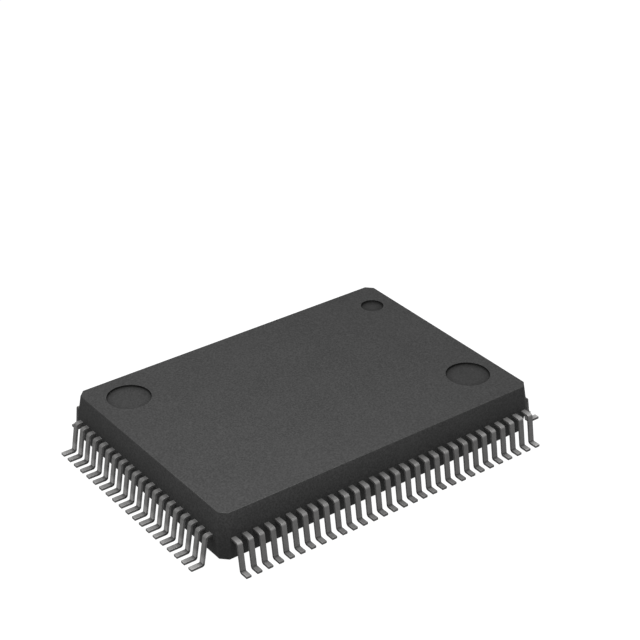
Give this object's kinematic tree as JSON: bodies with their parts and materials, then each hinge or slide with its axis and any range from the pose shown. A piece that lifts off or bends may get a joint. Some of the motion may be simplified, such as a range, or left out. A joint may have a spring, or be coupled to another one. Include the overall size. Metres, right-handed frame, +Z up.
{
  "type": "quad flat pack microcontroller",
  "caption": "Microcontroller in a rectangular dark moulded quad flat pack with gull-wing leads on all four sides, a pin 1 dimple and two ejector recesses in the top.",
  "frame": {"origin": "middle of the seating plane, on which the undersides of the lead feet lie", "axes": "+X along the long side, +Y along the short side towards the rear, +Z up through the top face; pin 1's dimple is at +X, +Y"},
  "size_m": [0.0228, 0.0168, 0.003],
  "materials": {
    "mould_compound": "matte, finely grained",
    "tinned_lead": "matte tin plating",
    "copper_frame": "bare copper alloy",
    "die_adhesive": "cured, silver filled",
    "silicon": "polished",
    "gold_wire": "drawn gold"
  },
  "bodies": {
    "root": {"body": "mould_compound", "front_leads": "tinned_lead", "right_leads": "tinned_lead", "rear_leads": "tinned_lead", "left_leads": "tinned_lead", "die_pad": "copper_frame", "die_attach": "die_adhesive", "die": "silicon", "front_bond_wires": "gold_wire", "right_bond_wires": "gold_wire", "rear_bond_wires": "gold_wire", "left_bond_wires": "gold_wire"}
  },
  "joints": []
}
